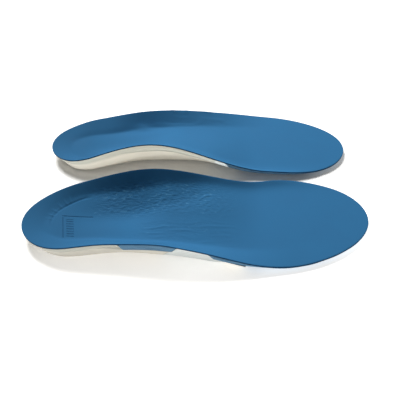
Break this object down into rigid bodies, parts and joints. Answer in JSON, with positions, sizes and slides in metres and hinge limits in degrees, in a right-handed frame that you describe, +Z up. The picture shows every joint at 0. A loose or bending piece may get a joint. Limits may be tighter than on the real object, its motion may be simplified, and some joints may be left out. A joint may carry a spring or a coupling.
{
  "type": "cushioned insole pair",
  "caption": "Left and right full-length shoe insoles with a textile top, foam cushion, moulded heel cup and raised arch support, flexing at the ball of the foot",
  "frame": {"origin": "centre of the pair on the surface it lies on", "axes": "+X from heel to toe, +Y from the right insole to the left insole, +Z up"},
  "size_m": [0.2658, 0.197, 0.0308],
  "materials": {
    "cover": "matt knitted microfibre",
    "foam": "matt closed-cell foam",
    "cup": "matt moulded foam",
    "plate": "satin",
    "pad": "soft gel"
  },
  "bodies": {
    "right_insole": {"right_top_cover_rear": "cover", "right_cushion_rear": "foam", "right_arch_cup": "cup", "right_support_plate": "plate", "right_heel_pad": "pad"},
    "right_toe": {"right_top_cover_toe": "cover", "right_cushion_toe": "foam"},
    "left_insole": {"left_top_cover_rear": "cover", "left_cushion_rear": "foam", "left_arch_cup": "cup", "left_support_plate": "plate", "left_heel_pad": "pad"},
    "left_toe": {"left_top_cover_toe": "cover", "left_cushion_toe": "foam"}
  },
  "joints": [
    {"name": "right_toe_flex", "type": "hinge", "parent": "right_insole", "child": "right_toe", "pos_m": [0.05811, -0.05165, 0.0082], "axis": [0.0209, -0.9998, 0], "range_deg": [0, 50], "stiffness_Nm_per_rad": 0.03},
    {"name": "left_lies_loose", "type": "slide", "parent": "right_insole", "child": "left_insole", "axis": [0, 1, 0], "range_m": [0, 0.05]},
    {"name": "left_toe_flex", "type": "hinge", "parent": "left_insole", "child": "left_toe", "pos_m": [0.05849, 0.05255, 0.0082], "axis": [0.0523, -0.9986, 0], "range_deg": [0, 50], "stiffness_Nm_per_rad": 0.03}
  ]
}
